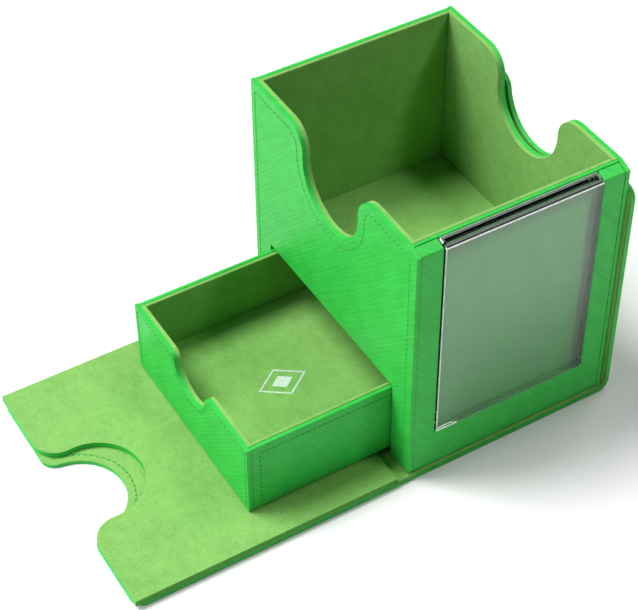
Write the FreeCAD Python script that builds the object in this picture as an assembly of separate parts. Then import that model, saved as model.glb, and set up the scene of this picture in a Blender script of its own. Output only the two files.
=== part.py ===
import FreeCAD, Part
import math
import os

# Card deck box: a top-loading box with a low drawer below its deck compartment and a clear card
# pocket on one side, standing in its folding cover. +Z is up, the drawer opens towards -Y and the
# pocket faces +X. The origin is on the surface the cover lies on, under the middle of the box.
# All sizes are in millimetres.

# box
box_width = 112.4            # outside, along X
box_depth = 88.8             # outside, along Y
box_height = 110.6           # bottom edge to top edge
board = 1.8                  # leatherette-wrapped board
lining = 1.5                 # microfibre-wrapped card
seat_gap = 0.2               # between the cover and the box that stands on it

# deck compartment and drawer bay
bay_height = 36.8            # bay mouth, above the box's bottom edge
bay_margin_left = 11.1       # front wall left of the bay mouth
bay_margin_right = 12.3      # front wall right of the bay mouth
bay_floor = 1.8
bay_guide = 1.8
deck_floor = 2.0
slope_width = 5.3            # the top of the display wall slopes outwards
slope_drop = 1.9

# thumb notches
notch_radius = 19.0
notch_shoulder = 10.0
notch_depth = 31.0
drawer_notch_radius = 12.0
drawer_notch_shoulder = 4.0
drawer_notch_depth = 13.2

# display wall and card pocket
display_wall = 5.8           # backing and frame together
display_backing = 1.4
stile = 9.6                  # frame beside the pocket
sill_height = 17.2           # frame below the pocket, from the box's bottom edge
pocket_fit = 0.1             # around the pocket in its frame
pocket_proud = 0.6           # lens in front of the frame
pocket_plate = 1.8
pocket_lens = 2.1
pocket_rail = 1.6

# drawer
drawer_side_gap = 0.9
drawer_under_gap = 0.3
drawer_over_gap = 1.9
drawer_back_gap = 0.8
drawer_pulled = 60.3         # how far out it stands
drawer_foot = 5.5            # the boards reach this far below the floor board
drawer_floor = 1.4
drawer_floor_lining = 1.0
motif_width = 15.0
motif_length = 21.0
motif_line = 1.3
motif_inner = 0.45           # inner diamond as a share of the outline
motif_thickness = 0.12
motif_forward = 3.8          # from the middle of the drawer floor towards its front

# cover
cover_width = 114.6
cover_outer = 1.8            # leatherette-wrapped outer board
base_inner = 1.0             # microfibre-faced inner boards, thickest in the front flap
front_inner = 2.6
back_inner = 1.3
inner_inset = 0.4            # inner boards stop short of the cover's side edges
flap_gap = 0.2               # between the box and the standing flap
fold_radius = 5.0            # outside of a folded corner
fold_skin = 1.6
fold_neutral = 0.5           # depth of the skin's unstretched layer
front_flap_length = 108.6
back_flap_length = 97.0
cover_corner = 5.0
front_notch_depth = 22.0     # notches in the outer boards, shallower than the inner boards'
front_notch_shift = 2.5
back_notch_depth = 20.0
back_notch_shift = 0.0
outer_notch_shoulder = 6.0

# closing magnets
magnet_radius = 5.0
magnet_thickness = 1.0
magnet_play = 0.1
magnet_inset = 16.0          # from the box's side faces
magnet_height = 60.0         # above the table when the cover is closed

cut_over = 5.0               # how far cutters run past what they cut
match = 0.01                 # finds an edge by its place

# worked-out places
base_thickness = cover_outer + base_inner
back_thickness = cover_outer + back_inner
half_w = box_width / 2
half_d = box_depth / 2
box_z = base_thickness + seat_gap
top_z = box_z + box_height
inner_left = -half_w + board
inner_right = half_w - display_wall
inner_y = half_d - board
deck_z = box_z + bay_height + deck_floor
bay_left = -half_w + bay_margin_left
bay_right = half_w - bay_margin_right
pocket_half = inner_y - stile
pocket_z = box_z + sill_height
frame_x = half_w - display_wall + display_backing
standing_y = half_d + flap_gap
fold_y = standing_y + back_thickness - fold_radius
fold_length = math.pi / 2 * (fold_radius - fold_neutral)
flap_start = fold_y + fold_length


def block(x0, x1, y0, y1, z0, z1):
    """A box between two corners."""
    return Part.makeBox(x1 - x0, y1 - y0, z1 - z0, FreeCAD.Vector(x0, y0, z0))


def notch(place, along, radius, shoulder, depth):
    """A thumb notch to cut from an edge. place turns (across, depth from the edge) into a point;
    along is the extrusion through the wall. The round bottom runs into round shoulders."""
    centre_v = depth - radius
    reach = radius + shoulder
    half = math.sqrt(reach ** 2 - (centre_v - shoulder) ** 2)
    toward = (half / reach, (centre_v - shoulder) / reach)
    join = (-half + shoulder * toward[0], shoulder + shoulder * toward[1])
    mid = (toward[0], toward[1] - 1)
    size = math.hypot(*mid)
    middle = (-half + shoulder * mid[0] / size, shoulder + shoulder * mid[1] / size)

    def mirrored(point):
        return (-point[0], point[1])

    def arc(a, b, c):
        return Part.Arc(place(*a), place(*b), place(*c)).toShape()

    def line(a, b):
        return Part.LineSegment(place(*a), place(*b)).toShape()

    start = (-half, 0)
    outer = (-half, -cut_over)
    wire = Part.Wire([
        line(outer, start),
        arc(start, middle, join),
        arc(join, (0, depth), mirrored(join)),
        arc(mirrored(join), mirrored(middle), mirrored(start)),
        line(mirrored(start), mirrored(outer)),
        line(mirrored(outer), outer),
    ])
    return Part.Face(wire).extrude(along)


def wall_notch(x, y, z, radius, shoulder, depth):
    """A notch in the top edge of a wall that faces -Y or +Y, cut right through near y."""
    def place(u, v):
        return FreeCAD.Vector(x + u, y - cut_over, z - v)

    return notch(place, FreeCAD.Vector(0, 2 * cut_over, 0), radius, shoulder, depth)


def slope_cutter():
    """The wedge above the sloping top of the display wall, over the whole depth."""
    spare = cut_over
    rise = slope_drop / slope_width
    inner_x = half_w - slope_width
    points = [
        (inner_x - spare, top_z + spare * rise),
        (half_w + spare, top_z - slope_drop - spare * rise),
        (half_w + spare, top_z + spare),
        (inner_x - spare, top_z + spare),
    ]
    corners = [FreeCAD.Vector(x, -half_d - spare, z) for x, z in points]
    face = Part.Face(Part.makePolygon(corners + corners[:1]))
    wedge = face.extrude(FreeCAD.Vector(0, box_depth + 2 * spare, 0))
    keep = block(inner_x - 2 * spare, inner_x, -box_depth, box_depth, box_z, top_z + 2 * spare)
    return wedge.cut(keep)


def discs(places, axis, radius, thickness):
    """Flat discs at places, standing along axis."""
    return [Part.makeCylinder(radius, thickness, place, axis) for place in places]


def magnet_places(y, z):
    x = half_w - magnet_inset
    return [FreeCAD.Vector(-x, y, z), FreeCAD.Vector(x, y, z)]


def cut_all(shape, cutters):
    for cutter in cutters:
        shape = shape.cut(cutter)
    return shape


def end_board(side):
    """Front (side -1) or back (side 1) board with its thumb notch and magnet seats."""
    y0, y1 = sorted((side * half_d, side * inner_y))
    shape = block(-half_w, half_w, y0, y1, box_z, top_z)
    seat = magnet_thickness + magnet_play
    seats = discs(magnet_places(side * inner_y, magnet_height), FreeCAD.Vector(0, side, 0),
                  magnet_radius + magnet_play, seat)
    cutters = [wall_notch(0, y0, top_z, notch_radius, notch_shoulder, notch_depth), slope_cutter()]
    shape = cut_all(shape, cutters + seats)
    if side < 0:
        shape = shape.cut(block(bay_left, bay_right, y0 - cut_over, y1 + cut_over,
                                box_z - cut_over, box_z + bay_height))
    return shape


def end_lining(side):
    """Lining card inside the front or back board, above the deck floor."""
    y0, y1 = sorted((side * inner_y, side * (inner_y - lining)))
    shape = block(inner_left, inner_right, y0, y1, deck_z, top_z)
    return shape.cut(wall_notch(0, y0, top_z, notch_radius, notch_shoulder, notch_depth))


def display_frame():
    """Thick frame on three sides of the pocket, open at its sloping top."""
    shape = block(frame_x, half_w, -inner_y, inner_y, box_z, top_z)
    half = pocket_half + pocket_fit
    space = block(frame_x - cut_over, half_w + cut_over, -half, half,
                  pocket_z - pocket_fit, top_z + cut_over)
    return cut_all(shape, [space, slope_cutter()])


def pocket_parts():
    """Clear pocket: back plate, two side rails, bottom rail and lens, with a card slot between."""
    plate_x = frame_x + pocket_plate
    front_x = half_w + pocket_proud
    lens_x = front_x - pocket_lens
    rail_z = pocket_z + pocket_rail
    inside = pocket_half - pocket_rail
    parts = {
        "pocket_back_plate": block(frame_x, plate_x, -pocket_half, pocket_half, pocket_z, top_z),
        "pocket_rail_front": block(plate_x, lens_x, -pocket_half, -inside, pocket_z, top_z),
        "pocket_rail_rear": block(plate_x, lens_x, inside, pocket_half, pocket_z, top_z),
        "pocket_rail_bottom": block(plate_x, lens_x, -inside, inside, pocket_z, rail_z),
        "pocket_lens": block(lens_x, front_x, -pocket_half, pocket_half, pocket_z, top_z),
    }
    return {name: shape.cut(slope_cutter()) for name, shape in parts.items()}


def box_parts():
    """Boards, floors, guides and linings of the box."""
    lined = inner_y - lining
    bay_top = box_z + bay_height
    parts = {
        "front_board": end_board(-1),
        "back_board": end_board(1),
        "left_board": block(-half_w, inner_left, -inner_y, inner_y, box_z, top_z),
        "display_backing": block(inner_right, frame_x, -inner_y, inner_y, box_z, top_z),
        "display_frame": display_frame(),
        "bay_floor_board": block(inner_left, inner_right, -inner_y, inner_y, box_z, box_z + bay_floor),
        "deck_floor_board": block(inner_left, inner_right, -inner_y, inner_y, bay_top, deck_z),
        "lining_front": end_lining(-1),
        "lining_back": end_lining(1),
        "lining_left": block(inner_left, inner_left + lining, -lined, lined, deck_z, top_z),
        "lining_right": block(inner_right - lining, inner_right, -lined, lined, deck_z, top_z),
        "lining_floor": block(inner_left + lining, inner_right - lining, -lined, lined,
                              deck_z, deck_z + lining),
    }
    for name, x in (("bay_guide_left", bay_left - bay_guide), ("bay_guide_right", bay_right)):
        parts[name] = block(x, x + bay_guide, -inner_y, inner_y, box_z + bay_floor, bay_top)
    seats = [disc for side in (-1, 1)
             for disc in discs(magnet_places(side * inner_y, magnet_height),
                               FreeCAD.Vector(0, side, 0), magnet_radius, magnet_thickness)]
    parts["box_magnets"] = Part.makeCompound(seats)
    return parts


def diamond(width, length, x, y, z):
    """A flat diamond, the playing-card shape, lying on a floor."""
    points = [(x - width / 2, y), (x, y - length / 2), (x + width / 2, y), (x, y + length / 2)]
    corners = [FreeCAD.Vector(px, py, z) for px, py in points]
    return Part.Face(Part.makePolygon(corners + corners[:1])).extrude(
        FreeCAD.Vector(0, 0, motif_thickness))


def drawer_parts():
    """Drawer boards, linings and the foil motif on its floor."""
    x0 = bay_left + drawer_side_gap
    x1 = bay_right - drawer_side_gap
    y0 = -half_d - drawer_pulled
    y1 = y0 + box_depth - board - drawer_back_gap
    z0 = box_z + bay_floor + drawer_under_gap
    z1 = box_z + bay_height - drawer_over_gap
    board_z = z0 + drawer_foot
    floor_z = board_z + drawer_floor
    mid_x = (x0 + x1) / 2
    in_x0, in_x1, in_y0, in_y1 = x0 + board, x1 - board, y0 + board, y1 - board
    grip = wall_notch(mid_x, y0, z1, drawer_notch_radius, drawer_notch_shoulder, drawer_notch_depth)
    foil_z = floor_z + drawer_floor_lining
    foil_y = (y0 + y1) / 2 - motif_forward
    edge = motif_line * 2 * math.hypot(motif_width, motif_length) / motif_length
    shrink = (motif_width - edge) / motif_width
    outline = diamond(motif_width, motif_length, mid_x, foil_y, foil_z).cut(
        diamond(motif_width * shrink, motif_length * shrink, mid_x, foil_y, foil_z))
    middle = diamond(motif_width * motif_inner, motif_length * motif_inner, mid_x, foil_y, foil_z)
    return {
        "drawer_front_board": block(x0, x1, y0, in_y0, z0, z1).cut(grip),
        "drawer_back_board": block(x0, x1, in_y1, y1, z0, z1),
        "drawer_left_board": block(x0, in_x0, in_y0, in_y1, z0, z1),
        "drawer_right_board": block(in_x1, x1, in_y0, in_y1, z0, z1),
        "drawer_floor_board": block(in_x0, in_x1, in_y0, in_y1, board_z, floor_z),
        "drawer_lining_front": block(in_x0, in_x1, in_y0, in_y0 + lining, floor_z, z1).cut(grip),
        "drawer_lining_back": block(in_x0, in_x1, in_y1 - lining, in_y1, floor_z, z1),
        "drawer_lining_left": block(in_x0, in_x0 + lining, in_y0 + lining, in_y1 - lining, floor_z, z1),
        "drawer_lining_right": block(in_x1 - lining, in_x1, in_y0 + lining, in_y1 - lining, floor_z, z1),
        "drawer_lining_floor": block(in_x0 + lining, in_x1 - lining, in_y0 + lining,
                                     in_y1 - lining, floor_z, foil_z),
        "drawer_foil_motif": Part.makeCompound([outline, middle]),
    }


def round_ends(shape, y, radius):
    """Round the two upright corners of a flat plate at its free end, y."""
    corners = [edge for edge in shape.Edges
               if abs(edge.CenterOfMass.y - y) < match
               and abs(edge.BoundBox.ZLength - shape.BoundBox.ZLength) < match
               and abs(abs(edge.CenterOfMass.x) - shape.BoundBox.XMax) < match]
    return shape.makeFillet(radius, corners)


def flat_flap(length, inner_thickness, outer_notch_depth, outer_notch_shift):
    """One flap lying flat towards -Y from its fold: outer board, inner board and steel discs."""
    end = -flap_start - length
    half = cover_width / 2

    def place_at(x):
        def place(u, v):
            return FreeCAD.Vector(x + u, end + v, -cut_over)

        return place

    through = FreeCAD.Vector(0, 0, cover_outer + inner_thickness + 2 * cut_over)
    outer = block(-half, half, end, -flap_start, 0, cover_outer)
    outer = round_ends(outer, end, cover_corner)
    outer = outer.cut(notch(place_at(outer_notch_shift), through, notch_radius,
                            outer_notch_shoulder, outer_notch_depth))
    inner = block(-half + inner_inset, half - inner_inset, end, -flap_start,
                  cover_outer, cover_outer + inner_thickness)
    inner = inner.cut(notch(place_at(0), through, notch_radius, notch_shoulder, notch_depth))
    disc_y = -flap_start - (magnet_height - fold_radius)
    places = magnet_places(disc_y, cover_outer)
    up = FreeCAD.Vector(0, 0, 1)
    inner = cut_all(inner, discs(places, up, magnet_radius + magnet_play, magnet_thickness + magnet_play))
    return outer, inner, Part.makeCompound(discs(places, up, magnet_radius, magnet_thickness))


def stand_up(shape):
    """Turn a flat front flap into the flap that stands behind the box."""
    turned = shape.copy()
    turned.rotate(FreeCAD.Vector(0, 0, 0), FreeCAD.Vector(0, 0, 1), 180)
    turned.translate(FreeCAD.Vector(0, -flap_start, 0))
    turned.rotate(FreeCAD.Vector(0, 0, 0), FreeCAD.Vector(1, 0, 0), 90)
    turned.translate(FreeCAD.Vector(0, standing_y + back_thickness, fold_radius))
    return turned


def folds():
    """The flat skin in front of the box and the quarter bend behind it."""
    half = cover_width / 2
    flat = block(-half, half, -flap_start, -fold_y, 0, fold_skin)
    start = FreeCAD.Vector(-half, fold_y, fold_radius)
    along = FreeCAD.Vector(1, 0, 0)
    tube = Part.makeCylinder(fold_radius, cover_width, start, along).cut(
        Part.makeCylinder(fold_radius - fold_skin, cover_width, start, along))
    bend = tube.common(block(-half, half, fold_y, fold_y + fold_radius, 0, fold_radius))
    return flat, bend


def cover_parts():
    """Base, two flaps, their steel discs and the folds between them."""
    half = cover_width / 2
    outer, inner, steel = flat_flap(front_flap_length, front_inner, front_notch_depth, front_notch_shift)
    standing_outer, standing_inner, standing_steel = (
        stand_up(shape) for shape in
        flat_flap(back_flap_length, back_inner, back_notch_depth, back_notch_shift))
    flat, bend = folds()
    return {
        "cover_base_outer": block(-half, half, -fold_y, fold_y, 0, cover_outer),
        "cover_base_inner": block(-half + inner_inset, half - inner_inset, -fold_y, fold_y,
                                  cover_outer, base_thickness),
        "front_flap_outer": outer,
        "front_flap_inner": inner,
        "front_flap_discs": steel,
        "back_flap_outer": standing_outer,
        "back_flap_inner": standing_inner,
        "back_flap_discs": standing_steel,
        "front_fold": flat,
        "back_fold": bend,
    }


def main():
    os.makedirs("parts", exist_ok=True)
    for group in (box_parts(), pocket_parts(), drawer_parts(), cover_parts()):
        for name, shape in group.items():
            shape.exportStep("parts/" + name + ".step")
            box = shape.BoundBox
            print(name, round(shape.Volume, 1), [round(v, 2) for v in (
                box.XMin, box.XMax, box.YMin, box.YMax, box.ZMin, box.ZMax)], shape.isValid())
    print("front hinge y", -fold_y - fold_length / 2, "back hinge y", fold_y + fold_length / 2,
          "z", fold_radius - fold_length / 2)


main()
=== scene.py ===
import bpy
import math
from mathutils import Matrix, Vector


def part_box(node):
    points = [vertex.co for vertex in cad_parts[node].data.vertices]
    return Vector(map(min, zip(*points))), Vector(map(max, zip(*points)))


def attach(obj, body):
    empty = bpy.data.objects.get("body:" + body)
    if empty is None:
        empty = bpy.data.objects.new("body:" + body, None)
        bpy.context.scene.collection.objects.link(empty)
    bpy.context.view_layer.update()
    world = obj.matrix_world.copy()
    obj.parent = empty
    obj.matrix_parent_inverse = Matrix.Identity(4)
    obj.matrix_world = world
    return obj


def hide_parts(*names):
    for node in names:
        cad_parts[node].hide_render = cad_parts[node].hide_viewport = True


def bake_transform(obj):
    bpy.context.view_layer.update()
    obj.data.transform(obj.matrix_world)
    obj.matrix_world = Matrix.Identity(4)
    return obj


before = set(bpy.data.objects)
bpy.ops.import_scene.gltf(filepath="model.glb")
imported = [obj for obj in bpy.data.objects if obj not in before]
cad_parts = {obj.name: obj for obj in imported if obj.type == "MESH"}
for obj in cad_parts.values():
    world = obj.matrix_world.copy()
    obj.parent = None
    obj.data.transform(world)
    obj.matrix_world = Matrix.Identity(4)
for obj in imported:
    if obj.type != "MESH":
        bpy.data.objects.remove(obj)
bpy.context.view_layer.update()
mm = 0.001
print("stage: frame loaded,", len(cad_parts), "nodes")

acrossX = Vector((1, 0, 0))
acrossY = Vector((0, 1, 0))
upZ = Vector((0, 0, 1))
cutPast = 5 * mm     # how far a cutter stands past what it cuts
wallCut = 10 * mm    # how thick the notch cutters are, more than any wall
flapCut = 12 * mm


# modelling helpers: each acts on one picked object

def pick(piece):
    if bpy.context.object and bpy.context.object.mode != "OBJECT":
        bpy.ops.object.mode_set(mode="OBJECT")
    bpy.ops.object.select_all(action="DESELECT")
    piece.select_set(True)
    bpy.context.view_layer.objects.active = piece


def freeze(piece):
    pick(piece)  # the place goes into the mesh, so that Object coordinates are the frame's
    bpy.ops.object.transform_apply(location=True, rotation=True, scale=True)
    return piece


def addBlock(name, low, high):
    bpy.ops.object.select_all(action="DESELECT")
    low, high = Vector(low), Vector(high)
    bpy.ops.mesh.primitive_cube_add(size=1, location=(low + high) / 2)
    piece = bpy.context.object
    piece.name = name
    piece.scale = high - low
    return freeze(piece)


def addRod(centre, radius, length, axis, sides=96):
    bpy.ops.object.select_all(action="DESELECT")
    bpy.ops.mesh.primitive_cylinder_add(vertices=sides, radius=radius, depth=length,
                                        location=centre)
    rod = bpy.context.object
    rod.rotation_euler = upZ.rotation_difference(Vector(axis)).to_euler()
    return freeze(rod)


def applyModifier(piece, kind, **settings):
    pick(piece)
    modifier = piece.modifiers.new(kind.title(), kind)
    for key, value in settings.items():
        setattr(modifier, key, value)
    bpy.ops.object.modifier_apply(modifier=modifier.name)


def combine(piece, tool, operation):
    applyModifier(piece, "BOOLEAN", object=tool, operation=operation, solver="EXACT")
    bpy.data.objects.remove(tool)
    return piece


def roundEdges(piece, radius, segments=3, angle=35):
    applyModifier(piece, "BEVEL", width=radius * mm, segments=segments, limit_method="ANGLE",
                  angle_limit=math.radians(angle), use_clamp_overlap=True)


def smooth(piece, angle=32):
    pick(piece)
    bpy.ops.object.shade_smooth_by_angle(angle=math.radians(angle))
    applyModifier(piece, "WEIGHTED_NORMAL", keep_sharp=True, weight=80)


def selectFaces(piece, test):
    pick(piece)
    bpy.ops.object.mode_set(mode="EDIT")
    bpy.ops.mesh.select_mode(type="FACE")
    bpy.ops.mesh.select_all(action="DESELECT")
    bpy.ops.object.mode_set(mode="OBJECT")
    for face in piece.data.polygons:
        face.select = test(face)
    bpy.ops.object.mode_set(mode="EDIT")


def bisectAlong(piece, places, normal):
    pick(piece)
    bpy.ops.object.mode_set(mode="EDIT")
    for place in places:
        bpy.ops.mesh.select_all(action="SELECT")
        bpy.ops.mesh.bisect(plane_co=Vector(normal) * place, plane_no=normal)
    bpy.ops.object.mode_set(mode="OBJECT")


def paint(piece, *materials, faceChoice=None):
    piece.data.materials.clear()
    for material in materials:
        piece.data.materials.append(material)
    if faceChoice:
        for face in piece.data.polygons:
            face.material_index = faceChoice(face)


def place(piece, body, slot, *nodes):
    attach(piece, body)
    if nodes:
        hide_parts(*nodes)


# thumb notches: a round bottom that runs into round shoulders

boxNotch = {"radius": 19.0, "shoulder": 10.0, "depth": 31.0}
drawerNotch = {"radius": 12.0, "shoulder": 4.0, "depth": 13.2}
skinNotch = {"radius": 19.0, "shoulder": 6.0, "depth": 22.0}  # the cover's outer layer


def notchLayout(notch):
    radius, shoulder = notch["radius"] * mm, notch["shoulder"] * mm
    centreDepth = notch["depth"] * mm - radius
    half = math.sqrt((radius + shoulder) ** 2 - (centreDepth - shoulder) ** 2)
    tilt = math.atan2(shoulder - centreDepth, half)  # from a shoulder's centre to the bottom's
    return radius, shoulder, centreDepth, half, tilt


def notchTool(notch, x, y, z, thickness):
    # a cutter for a wall in the XZ plane whose top edge is at z
    radius, shoulder, centreDepth, half, tilt = notchLayout(notch)
    joinDepth = shoulder - shoulder * math.sin(tilt)
    over, t = 6 * mm, thickness / 2
    tool = addBlock("notchTool", (x - half, y - t, z - joinDepth), (x + half, y + t, z + over))
    for side in (-1, 1):
        corner = addRod((x + side * half, y, z - shoulder), shoulder, thickness * 2, acrossY)
        combine(tool, corner, "DIFFERENCE")
    return combine(tool, addRod((x, y, z - centreDepth), radius, thickness, acrossY), "UNION")


def notchPath(notch, x, z, inset, steps=14):
    # points round the notch, inset from its edge, in the plane of the wall
    radius, shoulder, centreDepth, half, tilt = notchLayout(notch)
    tightest = 0.6 * mm  # a seam bends no tighter than this
    inner = max(shoulder - inset, tightest)
    points = []

    def arc(centreX, centreZ, size, start, end):
        for step in range(steps + 1):
            angle = start + (end - start) * step / steps
            points.append((centreX + size * math.cos(angle), centreZ + size * math.sin(angle)))

    arc(x - half, z - shoulder, inner, math.pi / 2, tilt)
    arc(x, z - centreDepth, radius + inset, math.pi + tilt, 2 * math.pi - tilt)
    arc(x + half, z - shoulder, inner, math.pi - tilt, math.pi / 2)
    return points


# materials

def colour(hexCode):
    def linear(value):
        return value / 12.92 if value <= 0.04045 else ((value + 0.055) / 1.055) ** 2.4

    return [linear(int(hexCode[i:i + 2], 16) / 255) for i in (0, 2, 4)] + [1]


def addNode(tree, kind, settings=None, links=None):
    node = tree.nodes.new(kind)
    for key, value in (settings or {}).items():
        if isinstance(key, int) or key in node.inputs.keys():
            node.inputs[key].default_value = value
        else:
            setattr(node, key, value)
    for key, source in (links or {}).items():
        tree.links.new(source, node.inputs[key])
    return node


def newMaterial(name, settings, letsLampsThrough=False):
    material = bpy.data.materials.new(name)
    material.use_nodes = True
    tree = material.node_tree
    tree.nodes.clear()
    surface = addNode(tree, "ShaderNodeBsdfPrincipled", settings)
    shown = surface.outputs[0]
    if letsLampsThrough:
        path = addNode(tree, "ShaderNodeLightPath")
        clear = addNode(tree, "ShaderNodeBsdfTransparent", {"Color": colour("FBFDFB")})
        shown = addNode(tree, "ShaderNodeMixShader", links={
            0: path.outputs["Is Shadow Ray"], 1: shown, 2: clear.outputs[0]}).outputs[0]
    addNode(tree, "ShaderNodeOutputMaterial", links={"Surface": shown})
    return material, tree, surface


def measured(tree, sizes, turn=(0, 0, 0), offset=(0, 0, 0)):
    # Object coordinates turned and counted in units of sizes, which are in millimetres
    where = addNode(tree, "ShaderNodeTexCoord")
    return addNode(tree, "ShaderNodeMapping", {
        "vector_type": "TEXTURE", "Scale": [size * mm for size in sizes], "Rotation": turn,
        "Location": offset}, {"Vector": where.outputs["Object"]}).outputs[0]


def pattern(tree, sizes, detail=3.0, roughness=0.55, turn=(0, 0, 0), offset=(0, 0, 0)):
    # noise whose features are about sizes, in millimetres
    return addNode(tree, "ShaderNodeTexNoise", {
        "Scale": 1.0, "Detail": detail, "Roughness": roughness},
        {"Vector": measured(tree, sizes, turn, offset)}).outputs["Fac"]


def summed(tree, *shares):
    # adds sources, each times its share
    total = None
    for source, share in shares:
        links = {0: source} if total is None else {0: source, 2: total}
        total = addNode(tree, "ShaderNodeMath", {"operation": "MULTIPLY_ADD", 1: share, 2: 0.0},
                        links).outputs[0]
    return total


def toneRange(tree, source, low, high, lowColour, highColour):
    ramp = addNode(tree, "ShaderNodeValToRGB", links={"Fac": source})
    ramp.color_ramp.elements[0].position = low
    ramp.color_ramp.elements[0].color = colour(lowColour)
    ramp.color_ramp.elements[1].position = high
    ramp.color_ramp.elements[1].color = colour(highColour)
    return ramp.outputs["Color"]


leatherLook = {
    "dark": "2BAB3E", "light": "34BE48", "rib": 1.25, "ribSlant": (-1.0, 1.2, 1.0), "waver": 0.5,
    "streak": 14.0, "hair": 0.8, "patch": 9.0, "pore": 0.5, "roughness": 0.45,
    "ribDepth": 0.07, "ribStrength": 0.4, "poreDepth": 0.04, "poreStrength": 0.3,
    "toneShares": (0.09, 0.5, 0.41), "toneSpan": (0.34, 0.64),
}


def makeLeatherette(name, relief=1.0):
    # polyurethane leatherette, roller-embossed: satin, with fine ribs that slant across each face
    # the real ribs are about 0.5 mm apart and are drawn wider so that they show
    look = leatherLook
    material, tree, surface = newMaterial(name, {
        "Roughness": look["roughness"], "IOR": 1.48, "Specular IOR Level": 0.26})
    turn = upZ.rotation_difference(Vector(look["ribSlant"])).to_euler()
    waveScale = math.pi / 10  # makes a wave texture's bands one unit apart
    ribs = addNode(tree, "ShaderNodeTexWave", {
        "wave_type": "BANDS", "bands_direction": "Z", "wave_profile": "SIN", "Scale": waveScale,
        "Distortion": look["waver"], "Detail": 2.0, "Detail Scale": 0.6, "Detail Roughness": 0.6},
        {"Vector": measured(tree, [look["streak"] / 3] * 2 + [look["rib"]], turn)}).outputs["Fac"]
    hairs = pattern(tree, [look["streak"]] * 2 + [look["hair"]], 2.0, 0.5, turn)
    patches = pattern(tree, [look["patch"]] * 3, 2.0)
    pores = pattern(tree, [look["pore"]] * 3, 1.0)
    tone = summed(tree, *zip((ribs, hairs, patches), look["toneShares"]))
    tree.links.new(toneRange(tree, tone, *look["toneSpan"], look["dark"], look["light"]),
                   surface.inputs["Base Color"])
    ribBump = addNode(tree, "ShaderNodeBump", {
        "Strength": look["ribStrength"] * relief, "Distance": look["ribDepth"] * mm},
        {"Height": summed(tree, (ribs, 0.6), (hairs, 0.6))})
    poreBump = addNode(tree, "ShaderNodeBump", {
        "Strength": look["poreStrength"] * relief, "Distance": look["poreDepth"] * mm},
        {"Height": pores, "Normal": ribBump.outputs[0]})
    tree.links.new(poreBump.outputs[0], surface.inputs["Normal"])
    return material


microfibreLook = {
    "dark": "70A352", "light": "80B45F", "nap": 0.8, "brushed": 4.5, "cloud": 20.0,
    "napDepth": 0.12, "napStrength": 0.55, "toneShares": (0.4, 0.35, 0.25), "toneSpan": (0.4, 0.6),
}


def makeMicrofibre(name, look):
    # brushed microfibre suede: matt short nap with faint lighter and darker brush marks
    material, tree, surface = newMaterial(name, {
        "Roughness": 0.95, "Specular IOR Level": 0.15, "Sheen Weight": 0.12, "Sheen Roughness": 0.5,
        "Sheen Tint": colour("D8F5C0")})
    nap = pattern(tree, [look["nap"]] * 3, 2.0, 0.6)
    marks = pattern(tree, [look["brushed"]] * 3, 4.0, 0.65)
    clouds = pattern(tree, [look["cloud"]] * 3, 2.0, offset=(3.1, 1.7, 0.4))
    tone = summed(tree, *zip((nap, marks, clouds), look["toneShares"]))
    tree.links.new(toneRange(tree, tone, *look["toneSpan"], look["dark"], look["light"]),
                   surface.inputs["Base Color"])
    bump = addNode(tree, "ShaderNodeBump", {"Strength": look["napStrength"],
                                            "Distance": look["napDepth"] * mm}, {"Height": nap})
    tree.links.new(bump.outputs[0], surface.inputs["Normal"])
    return material


def makeClearPlastic(name):
    # polished clear polystyrene: sharp reflections, a trace of moulding haze
    # the IOR is matched to the object, and is below polystyrene's usual 1.59
    material, tree, surface = newMaterial(name, {
        "Base Color": colour("E6F2E8"), "Roughness": 0.01, "IOR": 1.43, "Transmission Weight": 1.0},
        letsLampsThrough=True)
    haze = pattern(tree, (14.0, 14.0, 22.0), 1.0)
    rough = addNode(tree, "ShaderNodeMapRange", {"From Min": 0.3, "From Max": 0.7, "To Min": 0.0,
                                                 "To Max": 0.015}, {"Value": haze})
    tree.links.new(rough.outputs[0], surface.inputs["Roughness"])
    return material


def makeEdgeTone(name, dark, light, roughness):
    # opaque tones on a clear plate's edges and top faces: a painted highlight where they catch the
    # lamps, painted shade where no light comes back through them, and a flat grey-green
    material, tree, surface = newMaterial(name, {"Roughness": roughness, "IOR": 1.5,
                                                 "Specular IOR Level": 0.2})
    grain = pattern(tree, (0.6, 0.6, 3.0), 2.0)
    tree.links.new(toneRange(tree, grain, 0.35, 0.65, dark, light), surface.inputs["Base Color"])
    return material


def makeThread(name, dark, light):
    # twisted polyester sewing thread: slightly glossy, with the twist as fine slanting ridges
    material, tree, surface = newMaterial(name, {"Roughness": 0.5, "Sheen Weight": 0.2})
    twist = pattern(tree, (0.25, 0.25, 0.25), 1.0)
    tint = toneRange(tree, twist, 0.3, 0.7, dark, light)
    tree.links.new(tint, surface.inputs["Base Color"])
    bump = addNode(tree, "ShaderNodeBump", {"Strength": 0.4, "Distance": 0.05 * mm},
                   {"Height": twist})
    tree.links.new(bump.outputs[0], surface.inputs["Normal"])
    return material


def makeNeedleHoleShade(name):
    # the pit that a needle leaves: painted shade, a deep tone of the same leatherette
    material, tree, surface = newMaterial(name, {"Roughness": 0.9, "Specular IOR Level": 0.1})
    tint = toneRange(tree, pattern(tree, (0.4, 0.4, 0.4), 1.0), 0.3, 0.7, "1A7A2A", "229336")
    tree.links.new(tint, surface.inputs["Base Color"])
    return material


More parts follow.
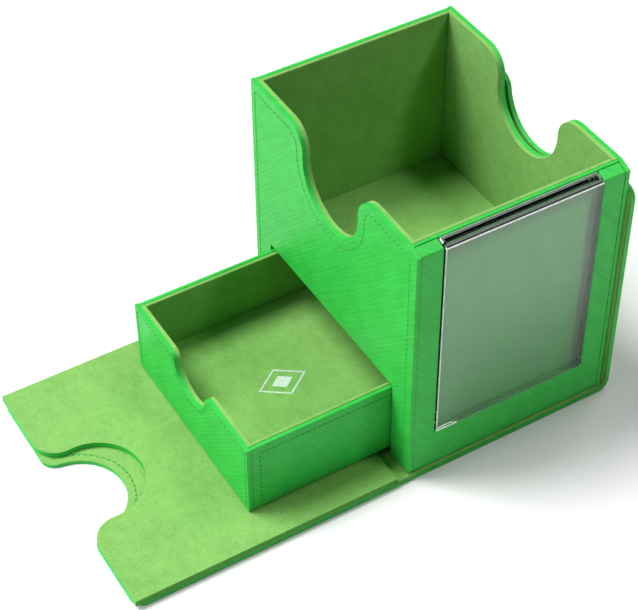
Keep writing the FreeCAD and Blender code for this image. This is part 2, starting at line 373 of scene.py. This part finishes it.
def makeFoil(name):
    # hot-stamped silver foil: pale satin metal, broken by the nap below it
    material, tree, surface = newMaterial(name, {"Metallic": 0.6, "Roughness": 0.35})
    grain = pattern(tree, (0.8, 0.8, 0.8), 2.0)
    tint = toneRange(tree, grain, 0.3, 0.7, "D8E4DA", "FFFFFF")
    tree.links.new(tint, surface.inputs["Base Color"])
    bump = addNode(tree, "ShaderNodeBump", {"Strength": 0.35, "Distance": 0.06 * mm},
                   {"Height": grain})
    tree.links.new(bump.outputs[0], surface.inputs["Normal"])
    return material


def makeNickel(name):
    # nickel-plated steel disc: bright, with faint grinding marks
    material, tree, surface = newMaterial(name, {"Metallic": 1.0, "Roughness": 0.3,
                                                 "Base Color": colour("C4C2BC")})
    marks = pattern(tree, (0.3, 3.0, 0.3), 1.0)
    rough = addNode(tree, "ShaderNodeMapRange", {"To Min": 0.22, "To Max": 0.4}, {"Value": marks})
    tree.links.new(rough.outputs[0], surface.inputs["Roughness"])
    return material


leatherette = makeLeatherette("leatheretteRibbed")
leatherettePlain = makeLeatherette("leatherettePlain", 0.0)  # smooth, behind the clear pocket
microfibre = makeMicrofibre("microfibreBrushed", microfibreLook)
microfibreShadedEdge = makeMicrofibre("microfibrePaintedShadeEdge", dict(  # painted shade: a pad's side faces get a darker, greener microfibre, as they look in shade
    microfibreLook, dark="4A9038", light="579F44"))
clearPlastic = makeClearPlastic("clearPolystyrenePolished")
# painted highlight, painted shade and a flat grey-green for the pocket's bevels, slot and top faces
paintedHighlightEdge = makeEdgeTone("clearPlasticPaintedHighlightEdge", "C4D0C6", "F4F8F4", 0.3)
paintedShadeEdge = makeEdgeTone("clearPlasticPaintedShadeEdge", "040805", "0E1811", 0.5)
dullEdge = makeEdgeTone("clearPlasticDullEdge", "48584B", "627066", 0.55)
thread = makeThread("polyesterThread", "219436", "2FAC42")
needleHoleShade = makeNeedleHoleShade("needleHolePaintedShade")
foil = makeFoil("silverFoilStamped")
nickel = makeNickel("nickelPlatedSteel")
print("stage: materials made")


# carried-over CAD pieces that keep their shape

keptNodes = {
    "bay_floor_board": leatherette, "deck_floor_board": leatherette,
    "bay_guide_left": leatherette, "bay_guide_right": leatherette,
    "drawer_floor_board": leatherette,
    "box_magnets": nickel, "front_flap_discs": nickel, "back_flap_discs": nickel,
}
for nodeName, material in keptNodes.items():
    paint(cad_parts[nodeName], material)


# stitched seams: one stitch with its needle hole, repeated along a path

stitch = {"pitch": 2.4, "length": 1.7, "radius": 0.22, "flatness": 0.8,
          "holeRadius": 0.4, "holeFlatness": 0.35}


def makeStitch():
    bpy.ops.object.select_all(action="DESELECT")
    middle = stitch["pitch"] / 2 * mm
    bpy.ops.mesh.primitive_uv_sphere_add(segments=8, ring_count=6, radius=stitch["radius"] * mm,
                                         location=(middle, 0, 0))
    strand = bpy.context.object
    strand.scale = (stitch["length"] / 2 / stitch["radius"], 1, stitch["flatness"])
    freeze(strand)
    # the needle hole: a flattened dome in the face, painted with the shade that falls into the pit
    bpy.ops.mesh.primitive_uv_sphere_add(segments=8, ring_count=5, radius=stitch["holeRadius"] * mm,
                                         location=(0, 0, 0))
    hole = bpy.context.object
    hole.scale = (1, 1, stitch["holeFlatness"])
    freeze(hole)
    paint(strand, thread, needleHoleShade)
    paint(hole, thread, needleHoleShade, faceChoice=lambda face: 1)
    pick(strand)
    hole.select_set(True)
    bpy.ops.object.join()
    pick(strand)
    bpy.ops.object.shade_smooth()
    return strand


def sewLine(name, points, origin, across, up, body):
    # points are (across, up) pairs in metres, measured from origin on the face
    path = bpy.data.curves.new(name + "Path", "CURVE")
    path.dimensions = "3D"
    path.twist_mode = "Z_UP"
    spline = path.splines.new("POLY")
    spline.points.add(len(points) - 1)
    for point, (u, v) in zip(spline.points, points):
        point.co = (u, v, 0, 1)
    guide = bpy.data.objects.new(name + "Path", path)
    bpy.context.collection.objects.link(guide)
    seam = makeStitch()
    seam.name = name
    applyModifier(seam, "ARRAY", fit_type="FIT_CURVE", curve=guide, use_relative_offset=False,
                  use_constant_offset=True, constant_offset_displace=(stitch["pitch"] * mm, 0, 0))
    applyModifier(seam, "CURVE", object=guide, deform_axis="POS_X")
    bpy.data.objects.remove(guide)
    across, up = Vector(across), Vector(up)
    turn = Matrix((across, up, across.cross(up))).transposed().to_4x4()
    seam.matrix_world = Matrix.Translation(origin) @ turn
    freeze(seam)
    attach(seam, body)


def threeSides(low, high, inset, foot):
    # up one side, along the top and down the other side of a rectangle
    return [(low[0] + inset, low[1] + foot), (low[0] + inset, high[1] - inset),
            (high[0] - inset, high[1] - inset), (high[0] - inset, low[1] + foot)]


# box: leatherette boards

boxBoards = {"edge": 0.8, "sideEdge": 0.5, "stitchInset": 4.2, "leftInset": 2.7, "stitchFoot": 4.0,
             "slopeWidth": 5.3, "slopeDrop": 1.9}


def slopeTool():
    # the wedge above the sloping top of the display wall
    low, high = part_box("front_board")
    width, drop = boxBoards["slopeWidth"] * mm, boxBoards["slopeDrop"] * mm
    spare = 20 * mm
    tool = addBlock("slopeTool", (0, low.y - spare, 0), (spare, -low.y + spare, spare))
    tool.rotation_euler = (0, math.atan2(drop, width), 0)
    tool.location = (high.x - width, 0, high.z)
    return freeze(tool)


def makeEndBoard(name, node, facing):
    low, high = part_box(node)
    board = addBlock(name, low, high)
    middleY = (low.y + high.y) / 2
    combine(board, notchTool(boxNotch, 0, middleY, high.z, wallCut), "DIFFERENCE")
    combine(board, slopeTool(), "DIFFERENCE")
    if facing < 0:
        left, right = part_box("bay_guide_left")[1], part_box("bay_guide_right")[0]
        mouth = addBlock("bayMouth", (left.x, low.y - cutPast, low.z - cutPast),
                         (right.x, high.y + cutPast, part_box("deck_floor_board")[0].z))
        combine(board, mouth, "DIFFERENCE")
    roundEdges(board, boxBoards["edge"])
    smooth(board)
    paint(board, leatherette)
    place(board, "box", "leatherette", node)
    inset, foot = boxBoards["stitchInset"] * mm, boxBoards["stitchFoot"] * mm
    leftInset = boxBoards["leftInset"] * mm
    slope = boxBoards["slopeDrop"] * mm
    around = [(low.x + leftInset, low.z + foot), (low.x + leftInset, high.z - inset)]
    around += notchPath(boxNotch, 0, high.z, inset)
    around += [(high.x - inset - slope, high.z - inset),
               (high.x - inset, high.z - inset - slope / 2),
               (high.x - inset, low.z + foot)]
    if facing < 0:
        sewLine(name + "Stitches", around, (0, low.y, 0), acrossX, upZ, "box")
    else:
        mirrored = [(-u, v) for u, v in around]
        sewLine(name + "Stitches", mirrored, (0, high.y, 0), -acrossX, upZ, "box")


def makeSideBoard():
    low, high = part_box("left_board")
    board = addBlock("leftBoard", low, high)
    roundEdges(board, boxBoards["sideEdge"])
    smooth(board)
    paint(board, leatherette)
    place(board, "box", "leatherette", "left_board")
    points = threeSides((low.y, low.z), (high.y, high.z), boxBoards["stitchInset"] * mm,
                        boxBoards["stitchFoot"] * mm)
    sewLine("leftBoardStitches", [(-u, v) for u, v in points], (low.x, 0, 0), -acrossY, upZ, "box")


makeEndBoard("frontBoard", "front_board", -1)
makeEndBoard("backBoard", "back_board", 1)
makeSideBoard()
print("stage: box boards")


# display wall and clear pocket

displayWall = {"edge": 0.55, "backingEdge": 0.4, "fit": 0.35}
pocket = {"edge": 0.45, "lensEdge": 0.35, "lip": 0.55, "rail": 1.6, "airGap": 0.06,
          "mouth": 2.2, "trim": 2.0, "slotTrim": 9.0}  # trims stand above the top, to be cut off


def makeDisplayWall():
    low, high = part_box("display_frame")
    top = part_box("front_board")[1].z
    lensLow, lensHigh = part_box("pocket_lens")
    fit = displayWall["fit"] * mm
    panel = addBlock("displayFrame", low, (high.x, high.y, top))
    window = addBlock("window", (low.x - cutPast, lensLow.y - fit, lensLow.z - fit),
                      (high.x + cutPast, lensHigh.y + fit, top + cutPast))
    combine(panel, window, "DIFFERENCE")
    combine(panel, slopeTool(), "DIFFERENCE")
    roundEdges(panel, displayWall["edge"])
    smooth(panel)
    paint(panel, leatherette)
    place(panel, "box", "leatherette", "display_frame")
    backing = addBlock("displayBacking", *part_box("display_backing"))
    roundEdges(backing, displayWall["backingEdge"])
    smooth(backing)
    paint(backing, leatherettePlain)
    place(backing, "box", "leatherette", "display_backing")


def makePocket():
    plateLow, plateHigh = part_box("pocket_back_plate")
    lensLow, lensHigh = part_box("pocket_lens")
    rail, gap = pocket["rail"] * mm, pocket["airGap"] * mm
    trim, slotTrim = pocket["trim"] * mm, pocket["slotTrim"] * mm
    tray = addBlock("pocketTray", (plateLow.x + gap, plateLow.y, plateLow.z),
                    (lensLow.x - gap, plateHigh.y, plateHigh.z + trim))
    cardSlot = addBlock("cardSlot", (plateHigh.x, plateLow.y + rail, plateLow.z + rail),
                        (lensLow.x + cutPast, plateHigh.y - rail, plateHigh.z + slotTrim))
    combine(tray, cardSlot, "DIFFERENCE")
    combine(tray, slopeTool(), "DIFFERENCE")
    roundEdges(tray, pocket["edge"], 1)
    # the band from here to the tray's top takes the painted shade of the slot's mouth and the
    # painted highlight of its bevels
    mouth = plateHigh.z - pocket["mouth"] * mm
    bisectAlong(tray, [mouth], upZ)
    lens = addBlock("pocketLens", lensLow, (lensHigh.x, lensHigh.y, plateHigh.z + trim))
    combine(lens, slopeTool(), "DIFFERENCE")
    roundEdges(lens, pocket["lensEdge"], 1, 15)
    lip = lensHigh.x - (pocket["lensEdge"] + pocket["lip"]) * mm
    bisectAlong(lens, [lip], acrossX)
    clear, paintedShade, paintedHighlight, dull = range(4)

    # painted shade on the slot's walls and floor and on the plate's front face at the mouth,
    # painted highlight on the upward rear bevels, flat grey-green on top faces and rail fronts
    def trayFace(face):
        middle, normal = face.center, face.normal
        inSlot = plateLow.y + mm < middle.y < plateHigh.y - mm and middle.x > plateHigh.x - 0.1 * mm
        if normal.x > 0.9 and middle.x > plateHigh.x + 0.5 * mm:
            return dull
        if middle.z > mouth and normal.z > 0.9:
            return dull
        if inSlot and (abs(normal.y) > 0.9 or normal.z > 0.9 or normal.x > 0 and middle.z > mouth):
            return paintedShade
        if middle.z > mouth and normal.z > 0.3 and normal.x < 0.5:
            return paintedHighlight
        return clear

    # painted shade on the top strip by the lip and on the rearward bevel, painted highlight on the
    # front bevel, flat grey-green on the rest of the top
    def lensFace(face):
        middle, normal = face.center, face.normal
        if normal.z > 0.9 and middle.z > mouth:
            return paintedShade if middle.x > lip else dull
        if max(abs(part) for part in normal) < 0.93 and middle.x > lip:
            return paintedHighlight
        return paintedShade if normal.z > 0.3 and normal.x < -0.3 else clear

    for piece, choice, nodes in (
            (tray, trayFace, ["pocket_back_plate", "pocket_rail_front", "pocket_rail_rear",
                              "pocket_rail_bottom"]), (lens, lensFace, ["pocket_lens"])):
        paint(piece, clearPlastic, paintedShadeEdge, paintedHighlightEdge, dullEdge, faceChoice=choice)
        place(piece, "box", "clear_plastic", *nodes)


makeDisplayWall()
makePocket()
print("stage: display wall and pocket")


# microfibre linings of the compartment and the drawer

linings = {"edge": 0.5}


def makeLining(name, node, body, notch=None):
    low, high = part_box(node)
    card = addBlock(name, low, high)
    if notch:
        middle = (low + high) / 2
        combine(card, notchTool(notch, middle.x if body == "drawer" else 0, middle.y, high.z,
                                wallCut), "DIFFERENCE")
    roundEdges(card, linings["edge"])
    smooth(card)
    paint(card, microfibre)
    place(card, body, "microfibre", node)


for side in ("front", "back", "left", "right", "floor"):
    endNotch = boxNotch if side in ("front", "back") else None
    makeLining("lining" + side.title(), "lining_" + side, "box", endNotch)
    drawerEnd = drawerNotch if side == "front" else None
    makeLining("drawerLining" + side.title(), "drawer_lining_" + side, "drawer", drawerEnd)
print("stage: linings")


# drawer

drawer = {"edge": 0.6, "stitchInset": 3.6, "frontInset": 1.7, "stitchFoot": 3.5,
          "motifLine": 0.7, "motifInner": 0.45, "motifLift": 0.02}


def makeDrawerBoards():
    inset, foot = drawer["stitchInset"] * mm, drawer["stitchFoot"] * mm
    for side in ("front", "back", "left", "right"):
        node = f"drawer_{side}_board"
        low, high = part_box(node)
        board = addBlock(f"drawer{side.title()}Board", low, high)
        middle = (low + high) / 2
        if side == "front":
            combine(board, notchTool(drawerNotch, middle.x, middle.y, high.z, wallCut),
                    "DIFFERENCE")
        roundEdges(board, drawer["edge"])
        smooth(board)
        paint(board, leatherette)
        place(board, "drawer", "leatherette", node)
        if side == "front":
            near = drawer["frontInset"] * mm
            around = [(low.x + near, low.z + foot), (low.x + near, high.z - near)]
            around += notchPath(drawerNotch, middle.x, high.z, near)
            around += [(high.x - near, high.z - near), (high.x - near, low.z + foot)]
            sewLine("drawerFrontStitches", around, (0, low.y, 0), acrossX, upZ, "drawer")
        if side == "right":
            points = threeSides((low.y, low.z), (high.y, high.z), inset, foot)
            sewLine("drawerRightStitches", points, (high.x, 0, 0), acrossY, upZ, "drawer")
        if side == "left":
            points = threeSides((-high.y, low.z), (-low.y, high.z), inset, foot)
            sewLine("drawerLeftStitches", points, (low.x, 0, 0), -acrossY, upZ, "drawer")


def makeMotif():
    # a plain playing-card diamond: an outline with a small solid diamond in it
    low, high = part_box("drawer_foil_motif")
    middle = (low + high) / 2
    width, length = high.x - low.x, high.y - low.y
    lift = drawer["motifLift"] * mm  # keeps the foil clear of the lining's face
    parts = []
    for share in (1, drawer["motifInner"]):
        bpy.ops.object.select_all(action="DESELECT")
        bpy.ops.mesh.primitive_circle_add(vertices=4, radius=0.5, fill_type="NGON",
                                          location=(middle.x, middle.y, low.z + lift))
        part = bpy.context.object
        part.scale = (width * share, length * share, 1)
        freeze(part)
        pick(part)
        bpy.ops.object.mode_set(mode="EDIT")
        bpy.ops.mesh.select_all(action="SELECT")
        if share == 1:
            bpy.ops.mesh.inset(thickness=drawer["motifLine"] * mm)
            bpy.ops.mesh.delete(type="FACE")
            bpy.ops.mesh.select_all(action="SELECT")
        bpy.ops.mesh.extrude_region_move(
            TRANSFORM_OT_translate={"value": (0, 0, high.z - low.z - lift)})
        bpy.ops.mesh.select_all(action="SELECT")
        bpy.ops.mesh.normals_make_consistent(inside=False)
        bpy.ops.object.mode_set(mode="OBJECT")
        parts.append(part)
    pick(parts[0])
    parts[1].select_set(True)
    bpy.ops.object.join()
    motif = parts[0]
    motif.name = "foilMotif"
    paint(motif, foil)
    place(motif, "drawer", "silver_foil", "drawer_foil_motif")


makeDrawerBoards()
makeMotif()
print("stage: drawer")


# cover: base, flaps and the skin that folds between them

cover = {"edge": 0.7, "corner": 5.0, "foldRadius": 5.0, "foldCuts": 18, "notchShift": 2.5,
         "stitchInset": 3.1, "foldLining": 0.5, "underBox": 6.0, "flush": 0.3,
         "skinEdge": 0.35, "stitchEnd": 2.0,
         "frontRigid": 2.3,   # the front bend starts this far out from the base
         "backRigid": 0.45}   # and the back bend at this share of the fold's radius
cover["backNotch"] = dict(skinNotch, depth=20.0)


def flapTool(notch, x, end, upright):
    # the notch tool turned to cut the end of a flat flap, or left upright for the standing one
    if upright:
        middleY, top = end
        return notchTool(notch, x, middleY, top, flapCut)
    tool = notchTool(notch, x, 0, 0, flapCut)
    tool.rotation_euler = (math.pi / 2, 0, 0)
    tool.location = (0, end, 0)
    return freeze(tool)


def roundCorners(piece, axis, test):
    # bevels the two corner edges that run along axis at a flap's free end
    pick(piece)
    bpy.ops.object.mode_set(mode="EDIT")
    bpy.ops.mesh.select_mode(type="EDGE")
    bpy.ops.mesh.select_all(action="DESELECT")
    bpy.ops.object.mode_set(mode="OBJECT")
    points = piece.data.vertices
    for edge in piece.data.edges:
        a, b = (points[i].co for i in edge.vertices)
        edge.select = abs((b - a).normalized().dot(axis)) > 0.9 and test((a + b) / 2)
    bpy.ops.object.mode_set(mode="EDIT")
    bpy.ops.mesh.bevel(offset=cover["corner"] * mm, segments=10, affect="EDGES")
    bpy.ops.object.mode_set(mode="OBJECT")


def makeBase():
    under = cover["underBox"] * mm
    outerLow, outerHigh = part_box("cover_base_outer")
    skin = addBlock("coverBaseSkin", (outerLow.x, outerLow.y + under, outerLow.z),
                    (outerHigh.x, outerHigh.y - under, outerHigh.z))
    applyModifier(skin, "BEVEL", width=0.01 * mm, segments=1)
    paint(skin, leatherette)
    place(skin, "cover_base", "leatherette", "cover_base_outer")
    flush = Vector((cover["flush"] * mm, 0, 0))
    innerLow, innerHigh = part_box("cover_base_inner")
    pad = addBlock("coverBaseLining", innerLow - flush, innerHigh + flush)
    roundEdges(pad, cover["edge"])
    smooth(pad)
    paint(pad, microfibre, leatherette,
          faceChoice=lambda face: 0 if abs(face.normal.z) > 0.7 else 1)
    place(pad, "cover_base", "microfibre", "cover_base_inner")


def isTopFace(face):
    return 1 if face.normal.z > 0.7 else 0


def isInnerFace(face):
    flatPart = 4 * mm  # the skin's flat part lies below this
    return 1 if face.normal.y < -0.7 or face.normal.z > 0.7 and face.center.z < flatPart else 0


def makeFrontFlap():
    low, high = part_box("front_flap_outer")
    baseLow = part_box("cover_base_outer")[0].y
    skin = addBlock("frontFlapSkin", low, (high.x, baseLow + cover["underBox"] * mm, high.z))
    roundCorners(skin, upZ, lambda middle: middle.y < low.y + mm)
    combine(skin, flapTool(skinNotch, cover["notchShift"] * mm, low.y, False), "DIFFERENCE")
    roundEdges(skin, cover["skinEdge"])
    cuts, bendStart = cover["foldCuts"], baseLow - cover["frontRigid"] * mm
    bendCuts = [high.y + (bendStart - high.y) * step / cuts for step in range(cuts + 1)]
    bisectAlong(skin, bendCuts, acrossY)
    smooth(skin)
    paint(skin, leatherette, microfibre, faceChoice=isTopFace)
    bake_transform(skin)
    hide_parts("front_flap_outer", "front_fold")

    flush = Vector((cover["flush"] * mm, 0, 0))
    innerLow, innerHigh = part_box("front_flap_inner")
    innerLow, innerHigh = innerLow - flush, innerHigh + flush
    pad = addBlock("frontFlapLining", innerLow, innerHigh)
    combine(pad, flapTool(boxNotch, 0, innerLow.y, False), "DIFFERENCE")
    roundEdges(pad, cover["edge"])
    smooth(pad)
    reach = innerLow.y + (boxNotch["depth"] + 1) * mm

    def flapFace(face):
        # 1 on the wall of the notch, which the leatherette is turned over, and 2, the painted-shade
        # microfibre, on the long sides
        if abs(face.normal.z) < 0.8 and face.center.y < reach:
            return 1 if abs(face.center.x) < innerHigh.x - 2 * mm else 2
        return 2 if abs(face.normal.x) > 0.7 else 0

    paint(pad, microfibre, leatherette, microfibreShadedEdge, faceChoice=flapFace)
    place(pad, "front_flap", "microfibre", "front_flap_inner")

    strip = addBlock("frontFoldLining", (innerLow.x, innerHigh.y - mm, high.z),
                     (innerHigh.x, baseLow + mm, high.z + 2 * cover["foldLining"] * mm))
    bisectAlong(strip, bendCuts, acrossY)
    paint(strip, microfibre)
    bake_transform(strip)

    inset = cover["stitchInset"] * mm
    ring = notchPath(skinNotch, -cover["notchShift"] * mm, 0, inset)
    sewLine("frontFlapRingStitches", ring, (0, low.y, high.z), -acrossX, -acrossY, "front_flap")
    flatX, flatEnd = high.x - inset, high.y - cover["stitchEnd"] * mm
    around = [(-flatX, -flatEnd), (-flatX, -low.y - inset)]
    around += notchPath(skinNotch, cover["notchShift"] * mm, -low.y, inset)
    around += [(flatX, -low.y - inset), (flatX, -flatEnd)]
    sewLine("frontFlapStitches", around, (0, 0, 0), acrossX, -acrossY, "front_flap")


def bendStrip(piece, foldY, radius, length):
    # spins the back end face of a strip upwards round the fold, then draws it up into the flap
    selectFaces(piece, lambda face: face.normal.y > 0.9)
    bpy.ops.mesh.spin(steps=cover["foldCuts"], angle=-math.pi / 2, center=(0, foldY, radius),
                      axis=(1, 0, 0))
    if length:
        bpy.ops.mesh.extrude_region_move(TRANSFORM_OT_translate={"value": (0, 0, length)})
    bpy.ops.mesh.select_all(action="SELECT")
    bpy.ops.mesh.remove_doubles(threshold=1e-6)
    bpy.ops.mesh.normals_make_consistent(inside=False)
    bpy.ops.object.mode_set(mode="OBJECT")


def makeBackFlap():
    low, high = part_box("back_flap_outer")
    baseLow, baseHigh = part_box("cover_base_outer")
    radius = cover["foldRadius"] * mm
    skin = addBlock("backFlapSkin", (baseLow.x, baseHigh.y - cover["underBox"] * mm, 0), baseHigh)
    bendStrip(skin, baseHigh.y, radius, high.z - low.z)
    roundCorners(skin, acrossY, lambda middle: middle.z > high.z - mm)
    middleY = (low.y + high.y) / 2
    combine(skin, flapTool(cover["backNotch"], 0, (middleY, high.z), True), "DIFFERENCE")
    roundEdges(skin, cover["edge"])
    smooth(skin)
    paint(skin, leatherette, microfibre, faceChoice=isInnerFace)
    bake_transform(skin)
    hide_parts("back_flap_outer", "back_fold")

    innerLow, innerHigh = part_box("back_flap_inner")
    pad = addBlock("backFlapLining", innerLow, innerHigh)
    combine(pad, flapTool(boxNotch, 0, ((innerLow.y + innerHigh.y) / 2, innerHigh.z), True),
            "DIFFERENCE")
    roundEdges(pad, cover["edge"])
    smooth(pad)
    # painted shade: the pad's side faces take the darker microfibre
    paint(pad, microfibre, microfibreShadedEdge,
          faceChoice=lambda face: 1 if abs(face.normal.y) < 0.7 else 0)
    place(pad, "back_flap", "microfibre", "back_flap_inner")

    strip = addBlock("backFoldLining", (innerLow.x, baseHigh.y - mm, baseHigh.z),
                     (innerHigh.x, baseHigh.y, baseHigh.z + cover["foldLining"] * mm))
    bendStrip(strip, baseHigh.y, radius, mm)
    smooth(strip)
    paint(strip, microfibre)
    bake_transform(strip)

    inset = cover["stitchInset"] * mm
    edgeX, foot = high.x - inset, low.z + cover["stitchEnd"] * mm
    around = [(-edgeX, foot), (-edgeX, high.z - inset)]
    around += notchPath(cover["backNotch"], 0, high.z, inset)
    around += [(edgeX, high.z - inset), (edgeX, foot)]
    sewLine("backFlapStitches", around, (0, high.y, 0), -acrossX, upZ, "back_flap")
    ring = notchPath(cover["backNotch"], 0, high.z, inset)
    sewLine("backFlapRingStitches", ring, (0, low.y, 0), acrossX, upZ, "back_flap")


makeBase()
makeFrontFlap()
makeBackFlap()
print("stage: cover")


# stage, light and camera

studio = {"floor": "E2E2E2", "floorSize": 30, "floorDrop": 0.05, "world": 0.045,
          "keyStrength": 3.5, "keyWidth": 24.5}
keySpot, keyTarget = (-0.42, -0.44, 1.1), (0, -0.03, 0.05)
softboxes = {  # places and sizes in metres, power in watts
    "topSoftbox": {"spot": (-0.04, 0.46, 1.2), "target": (0, 0, 0.08), "size": 0.4, "power": 4.0},
    "rightStrip": {"spot": (0.65, 0.47, 1.02), "target": (0, 0, 0.08), "size": 0.2, "power": 3.4},
    "frontFill": {"spot": (-0.3, -1.3, 0.6), "target": (0, 0, 0.05), "size": 1.0, "power": 12.5},
}
viewpoint = {"spot": (0.42406, -0.29906, 0.52722), "azimuth": 59.488, "elevation": 44.327,
             "roll": -0.502, "lens": 103.81, "sensor": 36, "nearest": 0.02}


def makeFloor():
    bpy.ops.object.select_all(action="DESELECT")
    bpy.ops.mesh.primitive_plane_add(size=studio["floorSize"],
                                     location=(0, 0, -studio["floorDrop"] * mm))
    floor = bpy.context.object
    floor.name = "studioFloor"
    paper = newMaterial("studioPaperMatt", {  # matt background paper: pale, with soft shadows only
        "Roughness": 0.9, "Base Color": colour(studio["floor"])})[0]
    paint(floor, paper)


def addLamp(name, kind, spot, target):
    bpy.ops.object.select_all(action="DESELECT")
    bpy.ops.object.light_add(type=kind, location=spot)
    lamp = bpy.context.object
    lamp.name = name
    lamp.rotation_euler = (Vector(target) - Vector(spot)).to_track_quat("-Z", "Y").to_euler()
    return lamp.data


def addKey():
    # as wide as a softbox near the box, and the same strength all over the floor
    light = addLamp("keySun", "SUN", keySpot, keyTarget)
    light.angle = math.radians(studio["keyWidth"])
    light.energy = studio["keyStrength"]


def addSoftbox(name, box):
    light = addLamp(name, "AREA", box["spot"], box["target"])
    light.shape = "SQUARE"
    light.size = box["size"]
    light.energy = box["power"]


def makeCamera():
    # a long portrait lens looking down at 44 degrees over the pocket corner
    azimuth, elevation, roll = (math.radians(viewpoint[part])
                                for part in ("azimuth", "elevation", "roll"))
    bpy.ops.object.camera_add(location=viewpoint["spot"])
    camera = bpy.context.object
    turn = Matrix.Rotation(azimuth, 4, "Z") @ Matrix.Rotation(math.pi / 2 - elevation, 4, "X")
    camera.rotation_euler = (turn @ Matrix.Rotation(roll, 4, "Z")).to_euler()
    camera.data.lens = viewpoint["lens"]
    camera.data.sensor_width = viewpoint["sensor"]
    camera.data.clip_start = viewpoint["nearest"]
    bpy.context.scene.camera = camera


def makeWorld():
    world = bpy.data.worlds.new("studioWorld")
    world.use_nodes = True
    world.node_tree.nodes.clear()
    sky = addNode(world.node_tree, "ShaderNodeBackground", {"Color": colour("FFFFFF"),
                                                            "Strength": studio["world"]})
    addNode(world.node_tree, "ShaderNodeOutputWorld", links={"Surface": sky.outputs[0]})
    bpy.context.scene.world = world


makeFloor()
addKey()
for boxName, box in softboxes.items():
    addSoftbox(boxName, box)
makeCamera()
makeWorld()
bpy.context.scene.view_settings.view_transform = "Standard"
print("stage: studio")
